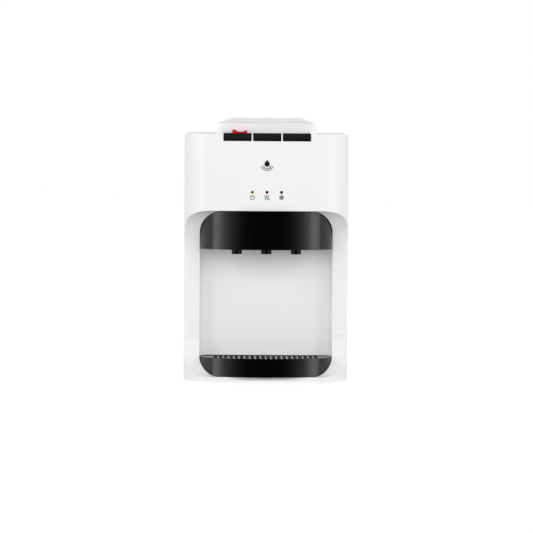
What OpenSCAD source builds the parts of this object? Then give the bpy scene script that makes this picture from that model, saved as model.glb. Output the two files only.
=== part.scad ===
// Countertop water dispenser: three push taps, a bottle collar on top and a slide-out drip tray.
// Millimetres, +Z up, front towards -Y, origin on the standing surface under the middle.

/* [Cabinet] */
// Width across the side panels
cabinet_w = 310; // [306:1:314]
// Distance of the fascia's front face from the middle
front_reach = 152; // [150:1:154]
// Distance of the rear panel's back face from the middle
rear_reach = 153; // [152:1:154]
// Height of the flat top above the surface
cabinet_top = 466; // [466:1:470]
// Thickness of the moulded shells
wall = 2.5; // [2:0.1:3]

/* [Scoop and recess] */
// Height of the toe below the drip tray
toe_top = 9.5; // [9:0.5:10]
// Height of the fascia's lower edge
visor_z = 322; // [318:1:326]
// Half width of the opening between the pillars
recess_half_w = 125.5; // [124:0.5:127]
// Height of the recess ceiling and the apron's lower edge
apron_z = 249; // [246:1:251]

/* [Taps] */
// Distance between neighbouring taps and between their buttons
tap_pitch = 55.6; // [55:0.1:56]

/* [Bottle seat] */
// Radius of the bore that takes the bottle's neck and shoulder
collar_bore_r = 62; // [60:0.5:62]
// Height of the collar's rim, the highest point
collar_top = 495; // [493:1:497]

/* [Hidden] */
$fn = 64;
half_w = cabinet_w / 2;
front_y = -front_reach;
rear_y = rear_reach;
corner_r = 52;
rear_r = 12;
top_edge_r = 6;
pillar_y = front_y + corner_r;
fascia_back_y = pillar_y + 10;
liner_front_y = pillar_y + 3;
cove_r = 80;
cove_rise = sqrt(pow(cove_r, 2) - pow(cove_r - corner_r, 2));
head_seam_z = visor_z - cove_rise;
toe_seam_z = toe_top + cove_rise;
seam = 0.1;
cover_z = cabinet_top - top_edge_r;
base_z = 3;
fit_gap = 0.3;
far = 600;

recess_back_y = pillar_y + 26;
recess_r = 20;
bow_r = 225;
bow_corner_r = 46;
apron_front_y = front_y - 8;
apron_corner_r = 43;
tray_front_y = front_y - 13;
tray_rear_y = recess_back_y - 0.6;
tray_half_w = recess_half_w - 0.5;
tray_bottom = toe_top + 0.1;
tray_rim = 45;
tray_corner_r = 37;

tap_xs = [-tap_pitch, 0, tap_pitch];
tap_y = pillar_y - 26;
tap_stub_z = 285;
nozzle_bottom = 240;
nozzle_r = 9.75;
axle_y = tap_y + 32;
axle_z = 455;
axle_r = 2;
running_gap = 0.06;
button_w = 52.3;
button_top = cabinet_top + 1.5;
button_face_z = cabinet_top - 9;
button_slot_z = cabinet_top - 13.5;
button_rear_y = -124;
rod_r = 3;
rod_top = 447.85;
guide_z = 400;
spring_collar_z = 430;

bottle_y = -10;
hump_front_y = -123;
hump_base_w = 96;
hump_top_w = 91;
hump_top = collar_top - 9;
collar_r = 66.3;
funnel_rim_z = collar_top - 17;

grip_z = [270, 363];
grip_y = [22, 72];
grip_depth = 20;

drain_x = -70;
drain_z = 40;
gland_x = 110;
gland_z = 45;
rocker_xs = [80, 110];
rocker_z = 410;
rocker_rest = 10;
fan_z = 340;
fan_ys = [109, 134];
hot_tank_pos = [-70, 30];
hot_tank_r = 48;
cold_tank_r = 52;
led_xs = [-27.3, 0, 27.3];
led_z = 357;
led_r = 2.8;
screw_xs = [-130, 130];
screw_zs = [30, 240, 440];

// ---- Shared shapes ----

module box(x0, x1, y0, y1, z0, z1) {
    translate([x0, y0, z0]) cube([x1 - x0, y1 - y0, z1 - z0]);
}

// Plan outline raised between two heights
module raised(z0, z1) {
    translate([0, 0, z0]) linear_extrude(z1 - z0) children();
}

// Front-view outline, drawn in X and Z, carried from y0 to y1
module carried(y0, y1) {
    translate([0, y1, 0]) rotate([90, 0, 0]) linear_extrude(y1 - y0) children();
}

// Side-view outline, drawn in Y and Z, carried from x0 to x1
module spanned(x0, x1) {
    translate([x0, 0, 0]) rotate([90, 0, 90]) linear_extrude(x1 - x0) children();
}

module x_rod(r, x0, x1, y, z) {
    translate([x0, y, z]) rotate([0, 90, 0]) cylinder(r = r, h = x1 - x0);
}

module y_rod(r, y0, y1, x, z) {
    translate([x, y1, z]) rotate([90, 0, 0]) cylinder(r = r, h = y1 - y0);
}

module z_rod(r, z0, z1, x, y) {
    translate([x, y, z0]) cylinder(r = r, h = z1 - z0);
}

// Rectangle with one radius on its two low-Y corners and another on its two high-Y corners
module rounded_plan(x0, x1, y0, y1, r_low, r_high) {
    translate([x0, y0 + r_low]) square([x1 - x0, y1 - r_high - y0 - r_low]);
    translate([x0 + r_low, y0]) square([x1 - x0 - 2 * r_low, r_low + 1]);
    translate([x0 + r_high, y1 - r_high - 1]) square([x1 - x0 - 2 * r_high, r_high + 1]);
    for (x = [x0 + r_low, x1 - r_low]) translate([x, y0 + r_low]) circle(r = r_low);
    for (x = [x0 + r_high, x1 - r_high]) translate([x, y1 - r_high]) circle(r = r_high);
}

module cabinet_plan(inset = 0) {
    w = half_w - inset;
    rounded_plan(-w, w, front_y + inset, rear_y - inset, corner_r - inset, rear_r - inset);
}

// Cabinet seen from the front, with its two upper edges rounded
module cabinet_face(inset = 0) {
    w = half_w - inset;
    r = top_edge_r - inset;
    translate([-w, 0]) square([2 * w, cover_z]);
    translate([-w + r, 0]) square([2 * (w - r), cabinet_top - inset]);
    for (x = [-w + r, w - r]) translate([x, cover_z]) circle(r = r);
}

// The scoop across the front, seen from the side: a cove under the head and another above the toe
module scoop(grow = 0) {
    r = cove_r + grow;
    cove_y = pillar_y - cove_r;
    spanned(-far, far) {
        for (z = [toe_seam_z, head_seam_z]) translate([cove_y, z]) circle(r = r, $fn = 128);
        translate([cove_y, toe_seam_z]) square([r, head_seam_z - toe_seam_z]);
    }
}

// Outline that the apron fills in the fascia, in X and Z
module apron_window(grow = 0) {
    w = recess_half_w + grow;
    rounded_plan(-w, w, toe_seam_z, visor_z + grow, 1, apron_corner_r + fit_gap + grow);
}

// Outline that the tray and the recess fill in the base, in X and Z
module tray_window(grow = 0) {
    w = recess_half_w + grow;
    rounded_plan(-w, w, toe_top - grow, head_seam_z, tray_corner_r + 0.5 + grow, 1);
}

// Bowed front with round corners, tangent to the bow, and a straight back
module bow_plan(half, front, rear, inset, rear_corner) {
    w = half - inset;
    big = bow_r - inset;
    r = bow_corner_r - inset;
    rr = max(rear_corner - inset, 1);
    apex = front + bow_r;
    cx = w - r;
    drop = sqrt(pow(big - r, 2) - pow(cx, 2));
    reach = 1.04 * big / drop;
    intersection() {
        translate([0, apex]) circle(r = big, $fn = 128);
        polygon([[0, apex], [-cx * reach, apex - drop * reach], [cx * reach, apex - drop * reach]]);
        translate([-w, front]) square([2 * w, apex - drop + 1 - front]);
    }
    intersection() {
        for (x = [-cx, cx]) translate([x, apex - drop]) circle(r = r);
        translate([-w, front]) square([2 * w, apex - drop + 1 - front]);
    }
    translate([-w, apex - drop]) square([2 * w, rear - inset - rr - apex + drop]);
    translate([-w + rr, rear - inset - rr - 1]) square([2 * (w - rr), rr + 1]);
    for (x = [-w + rr, w - rr]) translate([x, rear - inset - rr]) circle(r = rr);
}

// ---- Casing ----

module toe_block(inset) {
    back_y = fascia_back_y + inset;
    difference() {
        intersection() {
            raised(base_z + inset, toe_seam_z - seam) cabinet_plan(inset);
            box(-half_w, half_w, front_y, back_y, 0, far);
        }
        scoop(inset);
        carried(front_y - 1, back_y + 1) tray_window(inset);
    }
}

module base_pan() {
    color("white") {
        difference() {
            toe_block(0);
            toe_block(wall);
            box(-140, 140, liner_front_y - 0.2, fascia_back_y + 1, toe_top, far);
        }
        difference() {
            raised(base_z, toe_top) cabinet_plan();
            raised(base_z + wall, toe_top + 1) cabinet_plan(wall);
        }
        intersection() {
            raised(toe_top - wall, toe_top) cabinet_plan(wall / 2);
            box(-half_w, half_w, front_y, recess_back_y, 0, far);
        }
    }
}

module foot_pads() {
    color("dimgray") {
        for (x = [-112, 112]) z_rod(11, 0, base_z, x, -92);
        for (x = [-122, 122]) z_rod(11, 0, base_z, x, 122);
    }
}

// Pillars beside the recess, in one plate with the wall that carries the taps
module front_frame() {
    plate_w = half_w - wall - 0.1;
    plate_top = 430;
    pillar_edge_r = 1.2;
    rib_x = recess_half_w + 3;
    rib_t = 3;
    tie_z = head_seam_z + 29;
    tap_wall_w = recess_half_w - 3.5;
    low = toe_seam_z + seam;
    high = head_seam_z - seam;
    color("white")
    difference() {
        union() {
            carried(pillar_y, liner_front_y) {
                translate([-plate_w, low]) square([2 * plate_w, high - low]);
                translate([-tap_wall_w, apron_z]) square([2 * tap_wall_w, plate_top - apron_z]);
                translate([-plate_w, tie_z]) square([2 * plate_w, plate_top - tie_z]);
            }
            difference() {
                raised(low, high)
                    rounded_plan(-half_w, half_w, pillar_y, 0, pillar_edge_r, pillar_edge_r);
                raised(low - 1, high + 1)
                    rounded_plan(-half_w + wall, half_w - wall, pillar_y + wall, 0, 1, 1);
                box(-half_w - 1, half_w + 1, fascia_back_y, far, 0, far);
            }
            for (x0 = [-plate_w, rib_x])
                box(x0, x0 + plate_w - rib_x, liner_front_y - 0.3, liner_front_y + rib_t,
                    head_seam_z - 20, tie_z + 5);
        }
        carried(pillar_y - 1, pillar_y + 12)
            translate([-recess_half_w, toe_top - 1]) square([2 * recess_half_w, apron_z - toe_top + 1]);
        for (x = tap_xs) y_rod(7, pillar_y - 1, pillar_y + 9, x, tap_stub_z);
    }
}

module recess_plan(grow) {
    w = recess_half_w + grow;
    r = recess_r + grow;
    y0 = liner_front_y;
    y1 = recess_back_y + grow;
    translate([-w, y0]) square([2 * w, y1 - r - y0]);
    translate([-w + r, y0]) square([2 * (w - r), y1 - y0]);
    intersection() {
        for (x = [-w + r, w - r]) translate([x, y1 - r]) circle(r = r);
        translate([-w, y0]) square([2 * w, y1 - y0]);
    }
}

module recess_liner() {
    color("white")
    difference() {
        raised(toe_top, apron_z + wall) recess_plan(wall);
        raised(toe_top - 1, apron_z) recess_plan(0);
        box(-recess_half_w, recess_half_w, liner_front_y - 1, liner_front_y + 1, 0, apron_z);
    }
}

module fascia_block(inset, back_y) {
    difference() {
        intersection() {
            raised(head_seam_z, cabinet_top) cabinet_plan(inset);
            carried(front_y, back_y) cabinet_face(inset);
        }
        scoop(inset);
        carried(front_y - 1, back_y + 1) apron_window(inset);
    }
}

module front_fascia() {
    plate_z = head_seam_z + 28;
    inner_w = half_w - wall;
    color("white")
    difference() {
        fascia_block(0, fascia_back_y);
        fascia_block(wall, fascia_back_y + 1);
        box(-inner_w, inner_w, liner_front_y - 0.4, fascia_back_y + 1, 200, plate_z + 1);
        box(-inner_w, inner_w, pillar_y, fascia_back_y + 1, plate_z, cabinet_top - wall);
        box(-105, 105, front_y + 8, pillar_y + 1, visor_z - 1, visor_z + wall + 1);
        for (x = tap_xs)
            box(x - button_w / 2 - 0.45, x + button_w / 2 + 0.45, front_y - 1, fascia_back_y + 1,
                button_slot_z, cabinet_top + 1);
        for (x = led_xs) y_rod(led_r + 0.1, front_y - 1, front_y + wall + 1, x, led_z);
    }
}

module apron_block(inset) {
    r = apron_corner_r - inset;
    w = recess_half_w - 0.3 - inset;
    intersection() {
        raised(apron_z + inset, visor_z - 0.2 - inset)
            bow_plan(recess_half_w - 0.3, apron_front_y, 0, inset, 5);
        carried(apron_front_y - 1, pillar_y + inset)
            rounded_plan(-w, w, apron_z - r, visor_z - 0.2 - inset, 1, r);
    }
}

module tap_apron() {
    lip = 0.8;
    color([0.05, 0.05, 0.055])
    difference() {
        union() {
            apron_block(0);
            intersection() {
                raised(apron_z, apron_z + 3)
                    bow_plan(recess_half_w - 0.3 + lip, apron_front_y - lip, 0, 0, 5);
                box(-half_w, half_w, apron_front_y - 5, pillar_y - 0.5, 0, far);
            }
        }
        apron_block(wall);
        box(-72, 72, apron_front_y + 14, pillar_y + 1, visor_z - 2 * wall, visor_z + 1);
        for (x = tap_xs) z_rod(nozzle_r + 0.85, apron_z - 1, apron_z + wall + 1, x, tap_y);
    }
}

module side_panel(side) {
    x0 = side < 0 ? -half_w : 140;
    x1 = side < 0 ? -140 : half_w;
    gx = side * half_w;
    color("white")
    difference() {
        raised(toe_top, cover_z) cabinet_plan();
        raised(toe_top - 1, cover_z + 1) cabinet_plan(wall);
        box(-half_w - 1, half_w + 1, front_y - 1, fascia_back_y, 0, far);
        if (side < 0) box(x1, far, -far, far, 0, far);
        else box(-far, x0, -far, far, 0, far);
        spanned(gx - 5, gx + 5)
            rounded_plan(grip_y[0] + 1.9, grip_y[1] - 1.9, grip_z[0] + 1.9, grip_z[1] - 1.9, 12.1, 12.1);
    }
}
module side_panel_left() side_panel(-1);
module side_panel_right() side_panel(1);

module side_grip(side) {
    lip = 1.2;
    x_out = half_w + lip;
    x_in = half_w - grip_depth;
    color("white")
    mirror([side < 0 ? 1 : 0, 0, 0])
    difference() {
        union() {
            spanned(half_w, x_out) rounded_plan(grip_y[0], grip_y[1], grip_z[0], grip_z[1], 14, 14);
            spanned(x_in, x_out)
                rounded_plan(grip_y[0] + 2, grip_y[1] - 2, grip_z[0] + 2, grip_z[1] - 2, 12, 12);
        }
        spanned(x_in + 2, x_out + 1)
            rounded_plan(grip_y[0] + 4, grip_y[1] - 4, grip_z[0] + 4, grip_z[1] - 4, 10, 10);
    }
}
module side_grip_left() side_grip(-1);
module side_grip_right() side_grip(1);

module rear_panel() {
    slot_r = 2;
    color("white")
    difference() {
        intersection() {
            raised(toe_top, cover_z) cabinet_plan();
            box(-139.8, 139.8, rear_y - wall, rear_y, 0, far);
        }
        for (z = [290 : 9 : 390]) {
            box(-50, 50, rear_y - wall - 1, rear_y + 1, z - slot_r, z + slot_r);
            for (x = [-50, 50]) y_rod(slot_r, rear_y - wall - 1, rear_y + 1, x, z);
        }
        for (z = [90 : 9 : 150]) {
            box(-35, 35, rear_y - wall - 1, rear_y + 1, z - slot_r, z + slot_r);
            for (x = [-35, 35]) y_rod(slot_r, rear_y - wall - 1, rear_y + 1, x, z);
        }
        for (x = rocker_xs)
            box(x - 6.6, x + 6.6, rear_y - wall - 1, rear_y + 1, rocker_z - 10.6, rocker_z + 10.6);
        y_rod(8.2, rear_y - wall - 1, rear_y + 1, drain_x, drain_z);
        y_rod(7, rear_y - wall - 1, rear_y + 1, gland_x, gland_z);
        for (x = screw_xs, z = screw_zs) y_rod(1.7, rear_y - wall - 1, rear_y + 1, x, z);
    }
}

// ---- Top and bottle seat ----

module hump_plan(inset) {
    w = hump_base_w - inset;
    y0 = hump_front_y + inset;
    r = 10 - inset;
    translate([-w, y0 + r]) square([2 * w, bottle_y - y0 - r]);
    translate([-w + r, y0]) square([2 * (w - r), r + 1]);
    for (x = [-w + r, w - r]) translate([x, y0 + r]) circle(r = r);
    translate([0, bottle_y]) circle(r = w);
}

module hump_block(inset, z0) {
    b = hump_base_w - inset;
    t = hump_top_w - inset;
    intersection() {
        raised(z0, hump_top - inset) hump_plan(inset);
        carried(hump_front_y - 1, rear_y)
            polygon([[-b, z0 - 1], [b, z0 - 1], [b, cabinet_top], [t, hump_top + 0.1],
                [-t, hump_top + 0.1], [-b, cabinet_top]]);
    }
}

module top_cover() {
    rim_r = collar_r + fit_gap;
    color("white")
    difference() {
        union() {
            intersection() {
                raised(cover_z, cabinet_top) cabinet_plan();
                carried(fascia_back_y, rear_y) cabinet_face();
            }
            hump_block(0, cabinet_top);
            translate([0, bottle_y, hump_top])
                cylinder(r1 = hump_top_w, r2 = rim_r, h = collar_top - hump_top);
        }
        raised(cover_z - 1, cabinet_top - wall) cabinet_plan(wall);
        hump_block(wall, cover_z);
        translate([0, bottle_y, hump_top - wall])
            cylinder(r1 = hump_top_w - wall, r2 = rim_r - 1, h = collar_top - hump_top);
        z_rod(rim_r, hump_top, collar_top + 1, 0, bottle_y);
    }
}

module bottle_collar() {
    color("white")
    translate([0, bottle_y, 0])
    difference() {
        union() {
            z_rod(collar_r, funnel_rim_z, collar_top, 0, 0);
            z_rod(71, hump_top, hump_top + 3, 0, 0);
        }
        z_rod(collar_bore_r, funnel_rim_z - 1, collar_top + 1, 0, 0);
    }
}

module bottle_funnel() {
    throat_r = 32;
    floor_z = 400;
    throat_z = 436;
    color("white")
    translate([0, bottle_y, 0])
    difference() {
        union() {
            z_rod(collar_bore_r + 12, funnel_rim_z - wall, funnel_rim_z, 0, 0);
            translate([0, 0, throat_z])
                cylinder(r1 = throat_r + wall, r2 = collar_bore_r + wall, h = funnel_rim_z - throat_z);
            z_rod(throat_r + wall, floor_z, throat_z, 0, 0);
        }
        translate([0, 0, throat_z])
            cylinder(r1 = throat_r, r2 = collar_bore_r, h = funnel_rim_z - throat_z + 0.01);
        z_rod(throat_r, floor_z + wall, throat_z + 0.1, 0, 0);
        z_rod(9.1, floor_z - 1, floor_z + wall + 1, 0, 0);
    }
}

module feed_probe() {
    tube_r = 9;
    tip_z = 452;
    color("ivory")
    translate([0, bottle_y, 0])
    difference() {
        union() {
            z_rod(tube_r, 390, tip_z, 0, 0);
            translate([0, 0, tip_z]) sphere(r = tube_r);
            z_rod(20, 402.5, 405, 0, 0);
        }
        z_rod(5, 389, tip_z - 4, 0, 0);
        x_rod(3, -20, 20, 0, 436);
        y_rod(3, -20, 20, 0, 424);
    }
}

// ---- Drip tray ----

module tray_block(inset, z1) {
    r = tray_corner_r - inset;
    w = tray_half_w - inset;
    intersection() {
        raised(tray_bottom + inset, z1) bow_plan(tray_half_w, tray_front_y, tray_rear_y, inset, recess_r);
        carried(tray_front_y - 1, tray_rear_y + 1)
            rounded_plan(-w, w, tray_bottom + inset, 100, r, 1);
    }
}

module drip_tray() {
    ledge_z = 41;
    color([0.05, 0.05, 0.055])
    difference() {
        tray_block(0, tray_rim);
        tray_block(3.4, tray_rim + 1);
        intersection() {
            raised(ledge_z, tray_rim + 1) bow_plan(tray_half_w, tray_front_y, tray_rear_y, 1.8, recess_r);
            box(-tray_half_w + 2.4, tray_half_w - 2.4, -far, far, 0, far);
        }
    }
}

module drip_grille() {
    pitch = 10;
    columns = 20;
    rows = 3;
    row_pitch = 23;
    slot = [7, 20];
    color([0.05, 0.05, 0.055])
    raised(41.1, 43.9)
    difference() {
        intersection() {
            bow_plan(tray_half_w, tray_front_y, tray_rear_y, 2.4, recess_r);
            translate([-tray_half_w + 3, -far / 2]) square([2 * tray_half_w - 6, far]);
        }
        intersection() {
            bow_plan(tray_half_w, tray_front_y, tray_rear_y, 9, recess_r);
            union() for (i = [0 : columns - 1], j = [0 : rows - 1])
                translate([(i - (columns - 1) / 2) * pitch - slot[0] / 2, tray_rear_y - 32 - j * row_pitch])
                    square(slot);
        }
    }
}

// ---- Buttons, lock and linkage ----

module tap_button(x, lock_slot = false) {
    w = button_w / 2;
    color([0.08, 0.08, 0.085])
    difference() {
        union() {
            box(x - w, x + w, front_y, button_rear_y, button_face_z, button_top);
            box(x - w, x + w, front_y + 3.2, front_y + 5.2, 446, button_face_z + 1);
            for (side = [-1, 1])
                box(x + side * 23 - 2, x + side * 23 + 2, front_y + 4, axle_y, 450, 459);
            box(x - 24, x + 24, tap_y - 4, tap_y + 4, rod_top + 0.15, 451);
            x_rod(5, x - 25, x + 25, axle_y, axle_z);
        }
        box(x - w + wall, x + w - wall, front_y + wall, button_rear_y - wall,
            button_face_z - 1, button_top - wall);
        x_rod(axle_r + running_gap, x - 30, x + 30, axle_y, axle_z);
        if (lock_slot) box(x - 9, x + 10.2, tap_y - 14, tap_y - 10, 460, button_top + 1);
    }
    color([0.08, 0.08, 0.085])
    for (side = [-1, 1])
        box(x + side * 23 - 2, x + side * 23 + 2, front_y + 4, button_rear_y - 1, 455, 462);
}
module button_hot() tap_button(tap_xs[0], true);
module button_room() tap_button(tap_xs[1]);
module button_cold() tap_button(tap_xs[2]);

module child_lock() {
    x = tap_xs[0] + 4;
    base = button_top + 0.15;
    y0 = tap_y - 21;
    color("red")
    difference() {
        union() {
            spanned_lock(x, base, y0);
            box(x - 4.6, x + 6, tap_y - 13.7, tap_y - 10.3, 460.6, base + 1);
            box(x - 4.6, x + 6, tap_y - 18, tap_y - 6, 460.6, button_top - wall - 0.2);
        }
        translate([x + 2, 0, base + 17.4]) rotate([90, 0, 0]) cylinder(r = 15, h = far, center = true);
    }
}

// Thumb piece, higher at its left end
module spanned_lock(x, base, y0) {
    carried(y0, y0 + 17)
        polygon([[x - 14.5, base], [x + 14.5, base], [x + 14, base + 4.6], [x + 11, base + 5.2],
            [x - 10.5, base + 6.4], [x - 13.6, base + 6]]);
}

module button_axle() {
    color("silver") x_rod(axle_r, -87, 87, axle_y, axle_z);
}

module tap_bracket() {
    t = 2.4;
    ear_xs = [-tap_pitch * 1.5 - 0.6, -tap_pitch / 2, tap_pitch / 2, tap_pitch * 1.5 + 0.6];
    color("gainsboro")
    difference() {
        union() {
            box(-90, 90, tap_y - 14, pillar_y, guide_z, guide_z + 3);
            box(-90, 90, pillar_y - 3, pillar_y, guide_z - 15, guide_z + 28);
            for (x = ear_xs) {
                spanned(x - t / 2, x + t / 2)
                    polygon([[pillar_y - 14, guide_z + 2], [pillar_y - 1, guide_z + 2],
                        [pillar_y - 1, guide_z + 32], [axle_y + 5, axle_z - 4], [axle_y + 5, axle_z + 2],
                        [axle_y - 6, axle_z + 2], [pillar_y - 14, guide_z + 34]]);
                x_rod(5.5, x - t / 2, x + t / 2, axle_y, axle_z);
            }
        }
        for (x = tap_xs) z_rod(rod_r + running_gap, guide_z - 1, guide_z + 4, x, tap_y);
        x_rod(axle_r, -90, 90, axle_y, axle_z);
    }
}

module push_rod(x) {
    color("white") {
        z_rod(rod_r, 280, rod_top - rod_r, x, tap_y);
        translate([x, tap_y, rod_top - rod_r]) sphere(r = rod_r);
        z_rod(6.5, spring_collar_z, spring_collar_z + 2, x, tap_y);
        z_rod(6, 275, 281, x, tap_y);
    }
}
module push_rod_hot() push_rod(tap_xs[0]);
module push_rod_room() push_rod(tap_xs[1]);
module push_rod_cold() push_rod(tap_xs[2]);

// Round wire wound in a helix, as rings of points joined in order
module coil_spring(x, y, z0, z1) {
    coil_r = 4.9;
    wire_r = 0.6;
    turns = 6;
    per_turn = 18;
    sides = 6;
    rings = turns * per_turn;
    rise = z1 - z0 - 2 * wire_r;
    points = [for (i = [0 : rings], j = [0 : sides - 1])
        let (a = 360 * i / per_turn, b = 360 * j / sides, r = coil_r + wire_r * cos(b))
            [x + r * cos(a), y + r * sin(a), z0 + wire_r + rise * i / rings + wire_r * sin(b)]];
    sheath = [for (i = [0 : rings - 1], j = [0 : sides - 1])
        let (k = (j + 1) % sides)
            [i * sides + j, i * sides + k, (i + 1) * sides + k, (i + 1) * sides + j]];
    first = [for (j = [sides - 1 : -1 : 0]) j];
    last = [for (j = [0 : sides - 1]) rings * sides + j];
    polyhedron(points, concat([first], sheath, [last]));
}
module return_spring(x) {
    color("silver") coil_spring(x, tap_y, guide_z + 3.1, spring_collar_z - 0.1);
}
module return_spring_hot() return_spring(tap_xs[0]);
module return_spring_room() return_spring(tap_xs[1]);
module return_spring_cold() return_spring(tap_xs[2]);

module tap_body(x) {
    color([0.15, 0.15, 0.16])
    difference() {
        union() {
            z_rod(12, 262, 303, x, tap_y);
            y_rod(6, tap_y, pillar_y + 10, x, tap_stub_z);
            box(x - 18, x + 18, pillar_y - 3, pillar_y, tap_stub_z - 13, tap_stub_z + 13);
            box(x - 5, x + 5, tap_y, pillar_y - 1, 270, 300);
        }
        z_rod(6.5, 268, 300, x, tap_y);
        z_rod(rod_r + 0.3, 299, 304, x, tap_y);
        z_rod(4.5, 261, 269, x, tap_y);
        y_rod(3.5, tap_y, pillar_y + 11, x, tap_stub_z);
    }
}
module tap_body_hot() tap_body(tap_xs[0]);
module tap_body_room() tap_body(tap_xs[1]);
module tap_body_cold() tap_body(tap_xs[2]);

module nozzle(x) {
    color([0.06, 0.06, 0.065])
    difference() {
        union() {
            z_rod(nozzle_r, nozzle_bottom, 262, x, tap_y);
            z_rod(12, 258, 262, x, tap_y);
        }
        z_rod(7, nozzle_bottom - 1, 258, x, tap_y);
        z_rod(4.5, 257, 263, x, tap_y);
    }
}
module nozzle_hot() nozzle(tap_xs[0]);
module nozzle_room() nozzle(tap_xs[1]);
module nozzle_cold() nozzle(tap_xs[2]);

// ---- Indicators and emblem ----

module indicator_board() {
    color("darkgreen") {
        box(-45, 45, front_y + 13.1, front_y + 14.7, led_z - 14, led_z + 12);
        for (x = led_xs) box(x - 1.7, x + 1.7, front_y + 10.1, front_y + 13.1, led_z - 1.7, led_z + 1.7);
    }
    color("white")
    for (x = [-40, 40]) y_rod(3, front_y + wall, front_y + 13.1, x, led_z - 8);
}

module led_lens(x) {
    y_rod(led_r, front_y - 0.2, front_y + 9.9, x, led_z);
    y_rod(3.8, front_y + wall + 0.1, front_y + wall + 1.6, x, led_z);
}
module led_power() color("olive") led_lens(led_xs[0]);
module led_heat() color("darkred") led_lens(led_xs[1]);
module led_cool() color("seagreen") led_lens(led_xs[2]);

// Water drop with two ripples beneath it
module emblem() {
    drop_r = 5;
    z = 410;
    lean = 40;
    color([0.1, 0.1, 0.11])
    carried(front_y - 0.6, front_y) {
        translate([0, z]) circle(r = drop_r);
        translate([0, z]) polygon([[-drop_r * cos(lean), drop_r * sin(lean)],
            [drop_r * cos(lean), drop_r * sin(lean)], [0, drop_r / sin(lean)]]);
        for (r = [9, 12.5])
            difference() {
                translate([0, z]) circle(r = r);
                translate([0, z]) circle(r = r - 1.3);
                translate([-r - 1, z - r * 0.35]) square([2 * r + 2, 2 * r]);
            }
    }
}

// ---- Water and cooling parts inside ----

module tank_shelf() {
    color("lightgray")
    difference() {
        union() {
            box(-half_w + wall, half_w - wall, -70, 140, 287.5, 289.8);
            for (side = [-1, 1])
                box(side > 0 ? half_w - wall - 2 : -half_w + wall, side > 0 ? half_w - wall : -half_w + wall + 2,
                    -70, 18, 289, 310);
        }
        z_rod(7, 280, 295, -22, 0);
        box(hot_tank_pos[0] - 8, hot_tank_pos[0] + 8, 10, 50, 280, 295);
        for (side = [-1, 1])
            box(side > 0 ? half_w - 24 : -half_w, side > 0 ? half_w : -half_w + 24, 18, 76, 280, 295);
    }
}

module hot_tank() {
    x = hot_tank_pos[0];
    y = hot_tank_pos[1];
    color("silver") {
        difference() {
            union() {
                z_rod(hot_tank_r, 112, 228, x, y);
                z_rod(hot_tank_r - 4, 108, 232, x, y);
                z_rod(4, 228, 244, x, y);
            }
            z_rod(hot_tank_r - 1.5, 114, 226, x, y);
            z_rod(2.5, 220, 245, x, y);
        }
        for (a = [30 : 120 : 270]) z_rod(4, base_z + wall, 109, x + 38 * cos(a), y + 38 * sin(a));
    }
}

module heater_band() {
    x = hot_tank_pos[0];
    y = hot_tank_pos[1];
    color("goldenrod")
    difference() {
        union() {
            z_rod(hot_tank_r + 3, 135, 165, x, y);
            box(x - 8, x + 8, y + hot_tank_r, y + hot_tank_r + 12, 140, 160);
        }
        z_rod(hot_tank_r + 0.1, 134, 166, x, y);
    }
}

module thermostats() {
    color("dimgray")
    for (z = [185, 208]) {
        y_rod(8, hot_tank_pos[1] + hot_tank_r, hot_tank_pos[1] + hot_tank_r + 7, hot_tank_pos[0], z);
        box(hot_tank_pos[0] - 11, hot_tank_pos[0] + 11, hot_tank_pos[1] + hot_tank_r + 2,
            hot_tank_pos[1] + hot_tank_r + 3, z - 4, z + 4);
    }
}

module cold_tank() {
    color("silver")
    difference() {
        union() {
            z_rod(cold_tank_r, 300, 396, 0, bottle_y);
            z_rod(cold_tank_r + 4, 396, 399.9, 0, bottle_y);
            y_rod(4, -74, -55, 0, 375);
            y_rod(4, -74, -45, 30, 312);
            z_rod(4, 286, 301, -22, 0);
        }
        z_rod(cold_tank_r - 1.5, 301.5, 394.5, 0, bottle_y);
        z_rod(9.1, 390, 401, 0, bottle_y);
        y_rod(2.5, -75, -45, 0, 375);
        y_rod(2.5, -75, -40, 30, 312);
        z_rod(2.5, 285, 302, -22, 0);
    }
}

module cold_jacket() {
    color("whitesmoke")
    difference() {
        box(-68, 68, -66, 60, 290, 395.8);
        z_rod(cold_tank_r + 0.2, 299.9, 397, 0, bottle_y);
        y_rod(4.2, -70, -50, 0, 375);
        y_rod(4.2, -70, -30, 30, 312);
        z_rod(4.2, 289, 300, -22, 0);
        box(-20.3, 20.3, 30, 61, 319.7, 360.3);
    }
}

module water_separator() {
    color("ivory")
    difference() {
        z_rod(48, 350, 352, 0, bottle_y);
        z_rod(9, 349, 353, 0, bottle_y);
        for (a = [0 : 60 : 300]) z_rod(4, 349, 353, 32 * cos(a), bottle_y + 32 * sin(a));
    }
}

module cold_block() {
    color("silver")
    difference() {
        box(-20, 20, 30, 64, 320, 360);
        z_rod(cold_tank_r + 0.05, 319, 361, 0, bottle_y);
    }
}

module peltier_module() {
    color("white") box(-20, 20, 64.1, 67.9, 320, 360);
}

module heat_sink() {
    fins = 15;
    fin_pitch = 6.2;
    color("silver") {
        box(-46, 46, 68, 74, 294, 386);
        for (i = [0 : fins - 1])
            box((i - (fins - 1) / 2) * fin_pitch - 0.9, (i - (fins - 1) / 2) * fin_pitch + 0.9,
                73, 108, 294, 386);
    }
}

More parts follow.
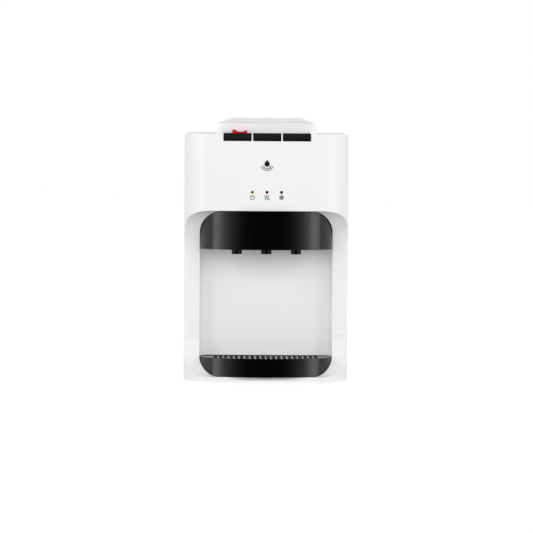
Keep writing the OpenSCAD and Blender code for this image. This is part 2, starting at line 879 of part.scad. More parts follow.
module fan_frame() {
    half = 46;
    color([0.1, 0.1, 0.1])
    difference() {
        union() {
            difference() {
                carried(fan_ys[0], fan_ys[1])
                    rounded_plan(-half, half, fan_z - half, fan_z + half, 5, 5);
                y_rod(43.5, fan_ys[0] - 1, fan_ys[1] + 1, 0, fan_z);
            }
            y_rod(16, fan_ys[1] - 3, fan_ys[1], 0, fan_z);
            for (a = [45 : 90 : 315])
                translate([0, 0, fan_z]) rotate([0, a, 0]) box(14, 44.5, fan_ys[1] - 3, fan_ys[1], -2, 2);
        }
        y_rod(2 + running_gap, fan_ys[0], fan_ys[1] - 1, 0, fan_z);
        for (x = [-41, 41], z = [-41, 41]) y_rod(2.2, fan_ys[0] - 1, fan_ys[1] + 1, x, fan_z + z);
    }
}

module fan_rotor() {
    blades = 7;
    color([0.15, 0.15, 0.15]) {
        y_rod(15.5, fan_ys[0] + 2, fan_ys[1] - 4, 0, fan_z);
        y_rod(2, fan_ys[1] - 5, fan_ys[1] - 1.2, 0, fan_z);
        for (i = [0 : blades - 1])
            translate([0, 0, fan_z]) rotate([0, i * 360 / blades, 0])
                translate([14, (fan_ys[0] + fan_ys[1]) / 2 - 1, 0]) rotate([40, 0, 0])
                    box(0, 27.5, -12, 12, -0.8, 0.8);
    }
}

module power_board() {
    color("darkgreen") box(118, 119.6, 25, 125, 40, 160);
    color("dimgray") {
        box(92, 118, 70, 110, 60, 100);
        box(100, 118, 35, 60, 110, 150);
        for (z = [60, 85]) x_rod(8, 92, 118, 45, z);
        for (y = [30, 120]) box(112, 118, y - 4, y + 4, base_z + wall, 48);
    }
}

// Round hose through a list of points, a little thicker at its bends
module hose(points, r) {
    bend_r = r + 0.3;
    for (i = [0 : len(points) - 2]) {
        d = points[i + 1] - points[i];
        translate(points[i])
            rotate([0, acos(d[2] / norm(d)), atan2(d[1], d[0])])
                cylinder(r = r, h = norm(d));
    }
    for (i = [1 : 1 : len(points) - 2]) translate(points[i]) sphere(r = bend_r);
}

module silicone_hoses() {
    color([0.85, 0.85, 0.8]) {
        hose([[tap_xs[0], -89.9, tap_stub_z], [tap_xs[0], -80, tap_stub_z], [-62, -66, 268],
            [hot_tank_pos[0], 30, 268], [hot_tank_pos[0], 30, 244.1]], 5);
        hose([[0, -89.9, tap_stub_z], [0, -80, tap_stub_z], [0, -80, 375], [0, -74.1, 375]], 5);
        hose([[tap_xs[2], -89.9, tap_stub_z], [tap_xs[2], -80, tap_stub_z],
            [30, -80, 312], [30, -74.1, 312]], 5);
        hose([[-22, 0, 285.9], [-22, 0, 262], [-8, 30, 240], [-8, 30, 125], [-21.9, 30, 125]], 5);
    }
}

module drain_pipe() {
    color("lightgray")
    difference() {
        union() {
            z_rod(6, drain_z, 107.9, drain_x, hot_tank_pos[1]);
            translate([drain_x, hot_tank_pos[1], drain_z]) sphere(r = 6);
            y_rod(6, hot_tank_pos[1], 146, drain_x, drain_z);
            y_rod(8, 144, 161, drain_x, drain_z);
            y_rod(12, rear_y - wall - 3, rear_y - wall, drain_x, drain_z);
        }
        y_rod(4, 60, 162, drain_x, drain_z);
    }
}

module drain_cap() {
    wing = 11;
    color("white")
    difference() {
        union() {
            y_rod(10.4, rear_y + 0.2, rear_y + 10, drain_x, drain_z);
            box(drain_x - 2, drain_x + 2, rear_y + 3, rear_y + 12, drain_z - wing, drain_z + wing);
        }
        y_rod(8 + running_gap, rear_y - 1, rear_y + 8.3, drain_x, drain_z);
    }
}

// Rocker switch cap, pressed at its lower end
module rocker(x) {
    translate([x, rear_y - 1.5, rocker_z]) {
        rotate([rocker_rest, 0, 0])
            spanned(-6, 6)
                polygon([[-4, -8.5], [3.6, -9.4], [2.4, 0], [3.6, 9.4], [-4, 8.5]]);
        x_rod(1.5, -6.5, 6.5, 0, 0);
    }
}
module rocker_heat() color("red") rocker(rocker_xs[0]);
module rocker_cool() color("green") rocker(rocker_xs[1]);

module cord_gland() {
    color([0.1, 0.1, 0.1])
    difference() {
        union() {
            y_rod(6.9, rear_y - wall - 4, rear_y + 1, gland_x, gland_z);
            y_rod(10, rear_y, rear_y + 3, gland_x, gland_z);
            y_rod(7.5, rear_y + 2, rear_y + 8, gland_x, gland_z);
            y_rod(9, rear_y - wall - 3, rear_y - wall, gland_x, gland_z);
        }
        y_rod(4, rear_y - 10, rear_y + 9, gland_x, gland_z);
    }
}

module case_screws() {
    color("silver")
    for (x = screw_xs, z = screw_zs)
        difference() {
            union() {
                y_rod(3.5, rear_y, rear_y + 2.2, x, z);
                y_rod(1.6, rear_y - 12, rear_y + 1, x, z);
            }
            for (a = [0, 90])
                translate([x, 0, z]) rotate([0, a, 0])
                    box(-2, 2, rear_y + 1.2, rear_y + 3, -0.5, 0.5);
        }
}

base_pan();
foot_pads();
front_frame();
recess_liner();
front_fascia();
tap_apron();
side_panel_left();
side_panel_right();
side_grip_left();
side_grip_right();
rear_panel();
top_cover();
bottle_collar();
bottle_funnel();
feed_probe();
drip_tray();
drip_grille();
button_hot();
button_room();
button_cold();
child_lock();
button_axle();
tap_bracket();
push_rod_hot();
push_rod_room();
push_rod_cold();
return_spring_hot();
return_spring_room();
return_spring_cold();
tap_body_hot();
tap_body_room();
tap_body_cold();
nozzle_hot();
nozzle_room();
nozzle_cold();
indicator_board();
led_power();
led_heat();
led_cool();
emblem();
tank_shelf();
hot_tank();
heater_band();
thermostats();
cold_tank();
cold_jacket();
water_separator();
cold_block();
peltier_module();
heat_sink();
fan_frame();
fan_rotor();
power_board();
silicone_hoses();
drain_pipe();
drain_cap();
rocker_heat();
rocker_cool();
cord_gland();
case_screws();
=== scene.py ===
"""Looks of the countertop water dispenser: camera, studio, materials and a few pieces made here.

Everything is in metres in the CAD frame: X right, the front towards -Y, Z up from the standing surface.
"""

import math

import bmesh
import bpy
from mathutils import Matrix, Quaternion, Vector


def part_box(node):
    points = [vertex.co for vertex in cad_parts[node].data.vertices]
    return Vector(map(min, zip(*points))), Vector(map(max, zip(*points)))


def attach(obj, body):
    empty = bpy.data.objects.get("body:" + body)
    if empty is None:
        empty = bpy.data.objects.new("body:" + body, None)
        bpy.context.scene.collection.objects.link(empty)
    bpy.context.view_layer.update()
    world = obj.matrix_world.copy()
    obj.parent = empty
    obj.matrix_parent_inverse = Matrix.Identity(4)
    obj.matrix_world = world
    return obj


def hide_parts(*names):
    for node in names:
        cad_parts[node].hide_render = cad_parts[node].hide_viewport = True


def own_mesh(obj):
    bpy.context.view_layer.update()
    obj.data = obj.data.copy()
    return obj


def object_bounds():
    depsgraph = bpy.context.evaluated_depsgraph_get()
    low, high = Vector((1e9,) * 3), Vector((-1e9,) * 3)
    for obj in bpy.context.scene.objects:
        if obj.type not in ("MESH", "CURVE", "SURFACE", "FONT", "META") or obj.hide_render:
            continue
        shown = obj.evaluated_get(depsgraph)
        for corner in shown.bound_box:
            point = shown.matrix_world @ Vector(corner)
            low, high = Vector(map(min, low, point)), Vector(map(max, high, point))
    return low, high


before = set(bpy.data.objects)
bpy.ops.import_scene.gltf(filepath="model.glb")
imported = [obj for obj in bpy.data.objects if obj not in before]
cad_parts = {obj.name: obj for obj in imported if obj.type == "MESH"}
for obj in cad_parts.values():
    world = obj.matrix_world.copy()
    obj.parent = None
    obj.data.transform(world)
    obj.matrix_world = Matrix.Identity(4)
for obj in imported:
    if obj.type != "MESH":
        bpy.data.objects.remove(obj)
cad_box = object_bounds()

MM = 0.001
TAPS = ("hot", "room", "cold")
FASCIA_LOW, FASCIA_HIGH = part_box("front_fascia")
FRONT_Y = FASCIA_LOW.y

# ---- Camera: a long lens a little above the middle, turned a degree so that one side just shows ----

CAMERA_DISTANCE = 5.5
CAMERA_HEIGHT = 0.53
CAMERA_AZIMUTH = math.radians(-1.0)
CAMERA_ROLL = math.radians(0.35)
CAMERA_LENS_MM = 198.5
AIM = Vector((0.0, FRONT_Y, 0.218))


def make_camera():
    data = bpy.data.cameras.new("camera")
    data.sensor_width = 36.0
    data.lens = CAMERA_LENS_MM
    data.clip_start, data.clip_end = 0.05, 60.0
    camera = bpy.data.objects.new("camera", data)
    bpy.context.scene.collection.objects.link(camera)
    camera.location = (
        AIM.x + CAMERA_DISTANCE * math.tan(CAMERA_AZIMUTH),
        AIM.y - CAMERA_DISTANCE,
        CAMERA_HEIGHT,
    )
    towards = (AIM - camera.location).to_track_quat("-Z", "Y")
    camera.rotation_mode = "QUATERNION"
    camera.rotation_quaternion = towards @ Quaternion((0, 0, 1), CAMERA_ROLL)
    bpy.context.scene.camera = camera


# ---- Shader nodes ----


class Tree:
    """A node tree with short calls that add a node with its inputs and wire its sockets."""

    def __init__(self, tree):
        self.tree = tree
        tree.nodes.clear()

    def node(self, kind, settings=None, **inputs):
        made = self.tree.nodes.new(kind)
        for name, value in (settings or {}).items():
            setattr(made, name, value)
        for name, value in inputs.items():
            self.put(made.inputs[name.replace("_", " ")], value)
        return made

    def put(self, socket, value):
        if isinstance(value, bpy.types.NodeSocket):
            self.tree.links.new(value, socket)
        else:
            socket.default_value = value

    def math(self, operation, a, b=0.0, clamp=False):
        made = self.tree.nodes.new("ShaderNodeMath")
        made.operation = operation
        made.use_clamp = clamp
        self.put(made.inputs[0], a)
        self.put(made.inputs[1], b)
        return made.outputs[0]

    def ramp(self, value, low, high, to_low=0.0, to_high=1.0):
        """value mapped smoothly from low..high to to_low..to_high."""
        made = self.tree.nodes.new("ShaderNodeMapRange")
        made.interpolation_type = "SMOOTHSTEP"
        for name, x in (
            ("Value", value),
            ("From Min", low),
            ("From Max", high),
            ("To Min", to_low),
            ("To Max", to_high),
        ):
            self.put(made.inputs[name], x)
        return made.outputs["Result"]

    def mix(self, factor, a, b):
        made = self.tree.nodes.new("ShaderNodeMix")
        made.data_type = "RGBA"
        self.put(made.inputs["Factor"], factor)
        self.put(made.inputs[6], a)
        self.put(made.inputs[7], b)
        return made.outputs[2]

    def noise(self, scale, detail=3.0, stretch=None):
        """Noise through the piece's own space, in cycles a metre, and stretched by a scale on each axis."""
        place = self.node("ShaderNodeTexCoord").outputs["Object"]
        if stretch:
            mapping = self.node("ShaderNodeMapping", Vector=place)
            mapping.inputs["Scale"].default_value = stretch
            place = mapping.outputs["Vector"]
        made = self.node("ShaderNodeTexNoise", Vector=place, Scale=scale, Detail=detail)
        return made.outputs["Fac"]

    def cells(self, scale):
        place = self.node("ShaderNodeTexCoord").outputs["Object"]
        made = self.node("ShaderNodeTexVoronoi", Vector=place, Scale=scale)
        return made.outputs["Distance"]

    def bump(self, height, strength, distance, normal=None):
        made = self.node("ShaderNodeBump", Height=height, Strength=strength, Distance=distance)
        if normal is not None:
            self.put(made.inputs["Normal"], normal)
        return made.outputs["Normal"]

    def painted_edge_sheen(self, start, end):
        """1 where the surface is a convex edge, 0 elsewhere: the mask of a painted highlight along edges."""
        pointiness = self.node("ShaderNodeNewGeometry").outputs["Pointiness"]
        return self.ramp(pointiness, start, end)


def rgb(red, green, blue):
    return (red, green, blue, 1.0)


def grey(value, tint=(1.0, 1.0, 1.0)):
    return rgb(*(value * t for t in tint))


def shade(colour, factor):
    return tuple(min(1.0, c * factor) for c in colour[:3]) + (1.0,)


def surface(name, **constants):
    """A material with one Principled shader, whose constant sockets are set directly."""
    material = bpy.data.materials.new(name)
    material.use_nodes = True
    tree = Tree(material.node_tree)
    shader = tree.node("ShaderNodeBsdfPrincipled")
    for socket, value in constants.items():
        shader.inputs[socket.replace("_", " ")].default_value = value
    output = tree.node("ShaderNodeOutputMaterial")
    tree.tree.links.new(shader.outputs["BSDF"], output.inputs["Surface"])
    return material, tree, shader


def moulded(
    name,
    colour,
    roughness,
    grain=0.05,
    grain_scale=1400.0,
    mottle=0.012,
    edge=0.0,
    spread=0.05,
    **constants,
):
    """Injection-moulded plastic: spark grain, flow marks, faint colour drift, and a painted highlight that
    makes convex edges paler.
    """
    material, tree, shader = surface(name, **constants)
    drift = tree.noise(9.0, 2.0)
    tone = tree.mix(drift, shade(colour, 1.0 - mottle), shade(colour, 1.0 + mottle))
    if edge:
        # painted highlight: convex edges are made paler, standing in for light caught on the rounded edges
        tone = tree.mix(tree.painted_edge_sheen(0.52, 0.60), tone, shade(colour, 1.0 + edge))
    tree.put(shader.inputs["Base Color"], tone)
    polish = tree.noise(60.0, 4.0)
    tree.put(shader.inputs["Roughness"], tree.ramp(polish, 0.3, 0.7, roughness - spread, roughness + spread))
    flow = tree.bump(tree.noise(14.0, 1.0), 0.04, 0.0015)
    tree.put(shader.inputs["Normal"], tree.bump(tree.noise(grain_scale, 2.0), grain, 0.00012, flow))
    return material


def brushed(name, colour, roughness, stretch=(1.0, 1.0, 0.03), scratch=0.12, **constants):
    """Metal with a drawn or brushed finish: fine lines along one axis, in its height and its roughness."""
    material, tree, shader = surface(name, Metallic=1.0, **constants)
    lines = tree.noise(2600.0, 3.0, stretch)
    cloud = tree.noise(35.0, 3.0)
    tree.put(shader.inputs["Base Color"], tree.mix(cloud, shade(colour, 0.9), shade(colour, 1.06)))
    tree.put(shader.inputs["Roughness"], tree.ramp(lines, 0.25, 0.75, roughness * 0.7, roughness * 1.3))
    tree.put(shader.inputs["Normal"], tree.bump(lines, scratch, 0.0001))
    return material


def porous(name, colour, roughness, cell_scale, depth, **constants):
    """Foam, rubber or ceramic: small rounded cells and a matt surface."""
    material, tree, shader = surface(name, **constants)
    cells = tree.cells(cell_scale)
    tree.put(shader.inputs["Base Color"], tree.mix(cells, shade(colour, 1.05), shade(colour, 0.86)))
    wear = tree.ramp(tree.noise(220.0), 0.3, 0.7, roughness - 0.08, roughness + 0.05)
    tree.put(shader.inputs["Roughness"], wear)
    tree.put(shader.inputs["Normal"], tree.bump(cells, depth, 0.0004))
    return material


def circuit(name):
    """Solder resist over copper tracks, with bright pads."""
    material, tree, shader = surface(name, Roughness=0.35, Specular_IOR_Level=0.5)
    resist = tree.mix(tree.noise(120.0), rgb(0.010, 0.075, 0.028), rgb(0.016, 0.11, 0.040))
    tracks = tree.ramp(tree.noise(260.0, 0.0, (1.0, 6.0, 6.0)), 0.56, 0.60)
    tracked = tree.mix(tracks, resist, rgb(0.03, 0.17, 0.06))
    pads = tree.ramp(tree.cells(240.0), 0.16, 0.10)
    tree.put(shader.inputs["Base Color"], tree.mix(pads, tracked, rgb(0.62, 0.60, 0.55)))
    tree.put(shader.inputs["Normal"], tree.bump(tracks, 0.3, 0.0001))
    return material


def lens(name, colour):
    """Dyed clear plastic of an unlit indicator, with a faint random swirl in its tone."""
    material, tree, shader = surface(
        name, Coat_Weight=1.0, Coat_Roughness=0.04, Transmission_Weight=0.15, Specular_IOR_Level=0.5
    )
    swirl = tree.noise(700.0, 2.0)
    tree.put(shader.inputs["Base Color"], tree.mix(swirl, shade(colour, 0.85), shade(colour, 1.15)))
    tree.put(shader.inputs["Roughness"], tree.ramp(swirl, 0.3, 0.7, 0.12, 0.22))
    tree.put(shader.inputs["Normal"], tree.bump(tree.cells(1500.0), 0.1, 0.0001))
    return material


SHELL_WHITE = grey(0.80)
LINER_WHITE = grey(0.775)
PIANO_BLACK = grey(0.0009)

# edge is the strength of the painted highlight along convex edges
FINISHES = {
    "white_shell": lambda n: moulded(n, SHELL_WHITE, 0.34, grain=0.03, mottle=0.006, Specular_IOR_Level=0.5),
    "white_liner": lambda n: moulded(n, LINER_WHITE, 0.42, grain=0.06, mottle=0.006, Specular_IOR_Level=0.45),
    "black_gloss": lambda n: moulded(
        n, PIANO_BLACK, 0.21, grain=0.01, mottle=0.1, spread=0.02, edge=6.0, Specular_IOR_Level=0.5
    ),
    "black_button": lambda n: moulded(
        n, grey(0.005), 0.42, grain=0.12, mottle=0.1, edge=1.5, Specular_IOR_Level=0.1
    ),
    "black_tap": lambda n: moulded(
        n, grey(0.0012), 0.24, grain=0.03, mottle=0.1, edge=3.0, Specular_IOR_Level=0.2
    ),
    "red_lock": lambda n: moulded(n, rgb(0.60, 0.0025, 0.002), 0.22, grain=0.03, mottle=0.04, edge=0.3),
    "steel": lambda n: brushed(n, rgb(0.62, 0.61, 0.59), 0.26),
    "spring_steel": lambda n: brushed(n, rgb(0.52, 0.52, 0.53), 0.22, (1.0, 1.0, 1.0), 0.05),
    "sheet_metal": lambda n: brushed(n, rgb(0.58, 0.59, 0.60), 0.38, (0.03, 1.0, 1.0)),
    "aluminium": lambda n: brushed(n, rgb(0.76, 0.77, 0.78), 0.34, (1.0, 1.0, 0.04)),
    "brass": lambda n: brushed(n, rgb(0.66, 0.47, 0.20), 0.32, (0.04, 0.04, 1.0)),
    "foam": lambda n: porous(n, grey(0.74), 0.85, 420.0, 0.7, Specular_IOR_Level=0.2),
    "ceramic_white": lambda n: porous(n, grey(0.78), 0.55, 1500.0, 0.15),
    "circuit": circuit,
    "component": lambda n: moulded(n, grey(0.012), 0.48, grain=0.2, grain_scale=900.0, mottle=0.1),
    "silicone": lambda n: moulded(
        n, rgb(0.70, 0.70, 0.66), 0.38, grain=0.04, mottle=0.03, Transmission_Weight=0.25, IOR=1.41
    ),
    "rubber_dark": lambda n: porous(n, grey(0.022), 0.74, 1600.0, 0.3, Specular_IOR_Level=0.3),
    "ivory_plastic": lambda n: moulded(n, rgb(0.72, 0.70, 0.62), 0.38, grain=0.05, mottle=0.02),
    "white_rod": lambda n: moulded(n, grey(0.74), 0.36, grain=0.05),
    "lens_olive": lambda n: lens(n, rgb(0.17, 0.12, 0.003)),
    "lens_red": lambda n: lens(n, rgb(0.10, 0.001, 0.003)),
    "lens_green": lambda n: lens(n, rgb(0.001, 0.045, 0.014)),
    "emblem_dark": lambda n: moulded(n, grey(0.012), 0.30, grain=0.05, mottle=0.1),
    "switch_red": lambda n: moulded(n, rgb(0.42, 0.010, 0.008), 0.26, grain=0.03, mottle=0.04),
    "switch_green": lambda n: moulded(n, rgb(0.012, 0.20, 0.045), 0.26, grain=0.03, mottle=0.04),
    "icon_grey": lambda n: moulded(n, grey(0.045), 0.5, grain=0.1, mottle=0.05),
}
made_finishes = {}


def finish_of(slot):
    if slot not in made_finishes:
        made_finishes[slot] = FINISHES[slot]("finish_" + slot)
    return made_finishes[slot]


# ---- Edges and shading of the CAD nodes ----

SHARP_DEG = 32.0
DEFAULT_EDGE = 0.35 * MM
EDGE_RADII = {
    "tap_apron": 1.3,
    "drip_tray": 0.8,
    "front_fascia": 0.7,
    "top_cover": 0.9,
    "base_pan": 0.7,
    "front_frame": 0.4,
    "recess_liner": 0.5,
    "bottle_collar": 0.9,
    "bottle_funnel": 0.7,
    "side_grip_left": 0.5,
    "side_grip_right": 0.5,
    "side_panel_left": 0.3,
    "side_panel_right": 0.3,
    "drip_grille": 0.45,
    "button_hot": 0.5,
    "button_room": 0.5,
    "button_cold": 0.5,
    "child_lock": 0.45,
    "nozzle_hot": 0.6,
    "nozzle_room": 0.6,
    "nozzle_cold": 0.6,
    "emblem": 0.12,
    "return_spring_hot": 0.0,
    "return_spring_room": 0.0,
    "return_spring_cold": 0.0,
    "silicone_hoses": 0.0,
    "peltier_module": 0.2,
}
PIERCED_NODES = ("drip_grille", "fan_frame")


def shading_group():
    """Geometry nodes that shade smoothly across shallow edges and keep the steep ones crisp."""
    group = bpy.data.node_groups.new("shade_by_angle", "GeometryNodeTree")
    group.interface.new_socket("Geometry", in_out="INPUT", socket_type="NodeSocketGeometry")
    group.interface.new_socket("Geometry", in_out="OUTPUT", socket_type="NodeSocketGeometry")
    start = group.nodes.new("NodeGroupInput")
    end = group.nodes.new("NodeGroupOutput")
    angle = group.nodes.new("GeometryNodeInputMeshEdgeAngle")
    steep = group.nodes.new("FunctionNodeCompare")
    steep.operation = "GREATER_THAN"
    steep.inputs[1].default_value = math.radians(SHARP_DEG)
    normals = group.nodes.new("GeometryNodeSetMeshNormal")
    normals.mode = "SHARPNESS"
    normals.inputs["Remove Custom"].default_value = True
    normals.inputs["Face Sharpness"].default_value = False
    group.links.new(angle.outputs["Unsigned Angle"], steep.inputs[0])
    group.links.new(steep.outputs["Result"], normals.inputs["Edge Sharpness"])
    group.links.new(start.outputs["Geometry"], normals.inputs["Mesh"])
    group.links.new(normals.outputs["Mesh"], end.inputs["Geometry"])
    return group


def dress_node(name, node, group):
    """Gives a CAD node its finish, and modifiers that round its edges by their moulded radius."""
    for slot in node.material_slots:
        slot.material = finish_of(slot.material.name)
    weld = node.modifiers.new("weld", "WELD")
    weld.merge_threshold = 0.002 * MM
    if name not in PIERCED_NODES:
        planes = node.modifiers.new("planes", "DECIMATE")
        planes.decimate_type = "DISSOLVE"
        planes.angle_limit = math.radians(0.05)
    width = EDGE_RADII.get(name, DEFAULT_EDGE / MM) * MM
    if width:
        edges = node.modifiers.new("edges", "BEVEL")
        edges.limit_method = "ANGLE"
        edges.angle_limit = math.radians(SHARP_DEG)
        edges.width = width
        edges.segments = 3
        edges.use_clamp_overlap = True
        edges.harden_normals = False
        edges.miter_outer = "MITER_ARC"
        seal = node.modifiers.new("seal", "WELD")
        seal.merge_threshold = 0.0002 * MM
    shading = node.modifiers.new("shading", "NODES")
    shading.node_group = group
    flats = node.modifiers.new("flats", "WEIGHTED_NORMAL")
    flats.mode = "FACE_AREA"
    flats.weight = 100
    flats.keep_sharp = True


# ---- Pieces made here ----


def add_piece(name, mesh, body, slot, finish=None):
    piece = bpy.data.objects.new(name, mesh)
    bpy.context.scene.collection.objects.link(piece)
    mesh.materials.append(finish_of(finish or slot))
    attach(piece, body)
    return piece


def mesh_of(bm, name, smooth=True):
    bmesh.ops.recalc_face_normals(bm, faces=bm.faces)
    mesh = bpy.data.meshes.new(name)
    bm.to_mesh(mesh)
    bm.free()
    for face in mesh.polygons:
        face.use_smooth = smooth
    return mesh


def helix_mesh(name, centre, z_low, z_high):
    """A compression spring with closed end turns: a round wire swept along its coil."""
    coil_r, wire_r = 4.9 * MM, 0.6 * MM
    turns, per_turn, sides, closed = 7.5, 36, 12, 0.9
    steps = int(turns * per_turn)
    travel = z_high - z_low - 2 * wire_r
    end_rise = 2.05 * wire_r * closed
    bm = bmesh.new()
    rings = []
    for i in range(steps + 1):
        turn = i / per_turn
        if turn < closed:
            rise = end_rise * turn / closed
        elif turn > turns - closed:
            rise = travel - end_rise * (turns - turn) / closed
        else:
            rise = end_rise + (travel - 2 * end_rise) * (turn - closed) / (turns - 2 * closed)
        a = math.tau * turn
        ring = []
        for j in range(sides):
            b = math.tau * j / sides
            r = coil_r + wire_r * math.cos(b)
            z = z_low + wire_r + rise + wire_r * math.sin(b)
            ring.append(bm.verts.new((centre.x + r * math.cos(a), centre.y + r * math.sin(a), z)))
        rings.append(ring)
    for one, two in zip(rings, rings[1:]):
        for j in range(sides):
            k = (j + 1) % sides
            bm.faces.new((one[j], one[k], two[k], two[j]))
    bm.faces.new(rings[0])
    bm.faces.new(reversed(rings[-1]))
    return mesh_of(bm, name)


def make_springs():
    """Each spring stands on the fixed guide: a coil built in the box of its CAD node and held still with the
    cabinet.
    """
    for tap in TAPS:
        node = "return_spring_" + tap
        low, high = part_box(node)
        centre = (low + high) / 2
        mesh = helix_mesh("spring_" + tap, centre, low.z, high.z)
        spring = add_piece("spring_" + tap, mesh, "cabinet", "spring_steel")
        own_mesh(spring)
        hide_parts(node)


def add_plate(bm, outline, y_front, y_back):
    """A closed plate from a front-view outline of (x, z) points."""
    front = [bm.verts.new((x, y_front, z)) for x, z in outline]
    back = [bm.verts.new((x, y_back, z)) for x, z in outline]
    bm.faces.new(front)
    bm.faces.new(reversed(back))
    for i in range(len(outline)):
        k = (i + 1) % len(outline)
        bm.faces.new((front[i], back[i], back[k], front[k]))


def stroke_outline(points, width):
    """The outline of a line of that width through the points."""
    left, right = [], []
    for i, point in enumerate(points):
        before, after = points[max(i - 1, 0)], points[min(i + 1, len(points) - 1)]
        along = (Vector(after) - Vector(before)).normalized()
        across = Vector((-along.y, along.x)) * width / 2
        left.append(tuple(Vector(point) + across))
        right.append(tuple(Vector(point) - across))
    return left + right[::-1]


def power_icon(x, z, size, stroke):
    """An open ring with an upright bar in its gap."""
    r, gap, steps = size / 2 - stroke / 2, math.radians(27), 40
    angles = [math.pi / 2 + gap + (math.tau - 2 * gap) * i / steps for i in range(steps + 1)]
    ring = [(x + r * math.cos(a), z + r * math.sin(a)) for a in angles]
    bar = [(x, z + 0.02 * size), (x, z + size / 2)]
    return [stroke_outline(ring, stroke), stroke_outline(bar, stroke)]


def heat_icon(x, z, size, stroke):
    """Three rising waves."""
    waves, steps = [], 24
    for i in (-1, 0, 1):
        line = []
        for k in range(steps + 1):
            t = k / steps
            line.append((x + i * size * 0.34 + 0.09 * size * math.sin(math.tau * t), z + size * (t - 0.5)))
        waves.append(stroke_outline(line, 1.15 * stroke))
    return waves


def snow_icon(x, z, size, stroke):
    """A six-armed snowflake as one outline."""
    w, reach, branch, at = stroke / 2, size / 2, size * 0.14, size * 0.27
    outline = []
    for arm in range(6):
        turn = math.radians(60 * arm)
        half = [
            (w / math.tan(math.radians(30)), w),
            (at, w),
            (at + branch * 0.5, w + branch * 0.87),
            (at + branch * 0.5 + stroke, w + branch * 0.87),
            (at + stroke * 1.2, w),
            (reach, w),
        ]
        whole = [(u, -v) for u, v in half] + [(u, v) for u, v in reversed(half)]
        for u, v in whole[1:]:
            along = u * math.cos(turn) - v * math.sin(turn)
            up = u * math.sin(turn) + v * math.cos(turn)
            outline.append((x + along, z + up))
    return [outline]


def make_icons():
    """Printed symbols under the three indicators."""
    drop, size, stroke = 9.8 * MM, 9.0 * MM, 1.25 * MM
    ink = 0.06 * MM
    for led, icon, draw in (
        ("led_power", "icon_power", power_icon),
        ("led_heat", "icon_heat", heat_icon),
        ("led_cool", "icon_cool", snow_icon),
    ):
        low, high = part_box(led)
        middle = (low + high) / 2
        bm = bmesh.new()
        for outline in draw(middle.x, middle.z - drop, size, stroke):
            add_plate(bm, outline, FRONT_Y - ink, FRONT_Y + ink)
        add_piece(icon, mesh_of(bm, icon, smooth=False), "cabinet", "emblem_dark", "icon_grey")


# ---- Studio ----

FLOOR_HALF = 9.0
BAND_LOW_DEG, BAND_HIGH_DEG = -3.0, 33.0
BAND_FRONT, BAND_REAR = 2.1, 1.1
BAND_FRONT_DEG, BAND_REAR_DEG = 30.0, 110.0
BAND_FADE_LOW_DEG, BAND_FADE_HIGH_DEG = 4.0, 8.0
SKY_LEVEL = 0.22
FLAG_FULL_DEG, FLAG_END_DEG = 12.0, 48.0
FLAG_SOFTNESS = 2.3
SOFTBOXES = (("softbox_left", -48.5, 4.8), ("softbox_right", 48.0, 4.9))
SOFTBOX_SIZE = (0.36, 1.7)
SOFTBOX_REACH = 2.3


def make_floor():
    """A pale floor that shows a faint contact shadow and that reflections do not see."""
    bm = bmesh.new()
    bmesh.ops.create_grid(bm, x_segments=8, y_segments=8, size=FLOOR_HALF)
    floor = bpy.data.objects.new("floor", mesh_of(bm, "floor"))
    bpy.context.scene.collection.objects.link(floor)
    material, tree, shader = surface("floor_pale", Roughness=0.9, Specular_IOR_Level=0.1)
    seen = tree.node("ShaderNodeLightPath").outputs["Is Camera Ray"]
    pale = tree.mix(tree.noise(3.0), grey(0.27), grey(0.28))
    tree.put(shader.inputs["Base Color"], pale)
    shader.inputs["Emission Color"].default_value = grey(1.0)
    tree.put(shader.inputs["Emission Strength"], tree.ramp(seen, 0.0, 1.0, 0.20, 0.80))
    floor.data.materials.append(material)
    floor.visible_glossy = False


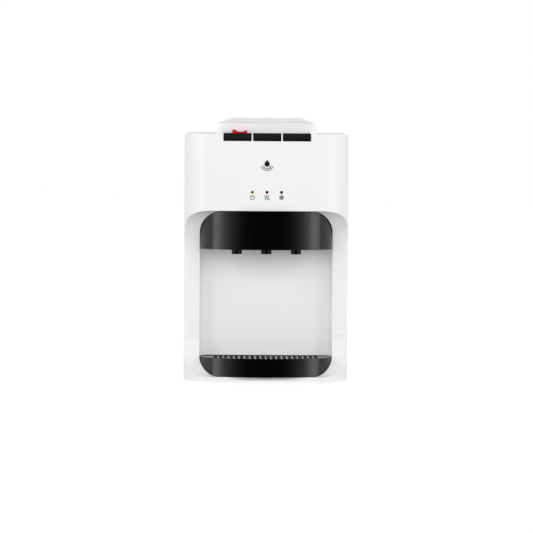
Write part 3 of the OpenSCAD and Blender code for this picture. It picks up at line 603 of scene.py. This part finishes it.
def make_world():
    """White to the camera, a bright low band to soft light, and a black flag in front to reflections.

    Each kind of ray sees its own level, so the world is not sampled as a light.
    """
    world = bpy.data.worlds.new("studio")
    world.use_nodes = True
    world.cycles.sampling_method = "NONE"
    bpy.context.scene.world = world
    tree = Tree(world.node_tree)
    direction = tree.node("ShaderNodeTexCoord").outputs["Generated"]
    parts = tree.node("ShaderNodeSeparateXYZ", Vector=direction)
    rays = tree.node("ShaderNodeLightPath").outputs
    forward = tree.math("MULTIPLY", parts.outputs["Y"], -1.0)
    azimuth = tree.math("ABSOLUTE", tree.math("ARCTAN2", parts.outputs["X"], forward))
    opening = tree.ramp(azimuth, math.radians(FLAG_FULL_DEG), math.radians(FLAG_END_DEG))
    mirrored = tree.math("POWER", opening, FLAG_SOFTNESS)
    elevation = tree.math("ARCSINE", parts.outputs["Z"])
    low, high = math.radians(BAND_LOW_DEG), math.radians(BAND_HIGH_DEG)
    above = tree.ramp(elevation, low - math.radians(BAND_FADE_LOW_DEG), low)
    below = tree.ramp(elevation, high, high + math.radians(BAND_FADE_HIGH_DEG), 1.0, 0.0)
    front, rear = math.radians(BAND_FRONT_DEG), math.radians(BAND_REAR_DEG)
    frontal = tree.ramp(azimuth, front, rear, BAND_FRONT, BAND_REAR)
    band = tree.math("MULTIPLY", tree.math("MULTIPLY", above, below), frontal)
    lit = tree.math("ADD", band, SKY_LEVEL)
    unless_glossy = tree.math("SUBTRACT", 1.0, rays["Is Glossy Ray"])
    lit = tree.math("MULTIPLY", lit, unless_glossy)
    level = tree.math("ADD", lit, tree.math("MULTIPLY", mirrored, rays["Is Glossy Ray"]))
    seen = tree.math("MULTIPLY", tree.math("SUBTRACT", 1.0, level), rays["Is Camera Ray"])
    strength = tree.math("ADD", level, seen)
    background = tree.node("ShaderNodeBackground", Color=grey(1.0), Strength=strength)
    output = tree.node("ShaderNodeOutputWorld")
    tree.tree.links.new(background.outputs["Background"], output.inputs["Surface"])


def make_lights():
    middle = (cad_box[0] + cad_box[1]) / 2
    for name, azimuth_deg, power in SOFTBOXES:
        data = bpy.data.lights.new(name, "AREA")
        data.shape = "RECTANGLE"
        data.size, data.size_y = SOFTBOX_SIZE
        data.energy = power
        light = bpy.data.objects.new(name, data)
        bpy.context.scene.collection.objects.link(light)
        a = math.radians(azimuth_deg)
        light.location = middle + Vector((math.sin(a), -math.cos(a), 0.0)) * SOFTBOX_REACH
        light.rotation_mode = "QUATERNION"
        light.rotation_quaternion = (middle - light.location).to_track_quat("-Z", "Y")


make_camera()
make_floor()
make_world()
make_lights()
smooth_by_angle = shading_group()
for node_name, node_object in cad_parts.items():
    dress_node(node_name, node_object, smooth_by_angle)
make_springs()
make_icons()
bpy.context.scene.view_settings.view_transform = "Standard"
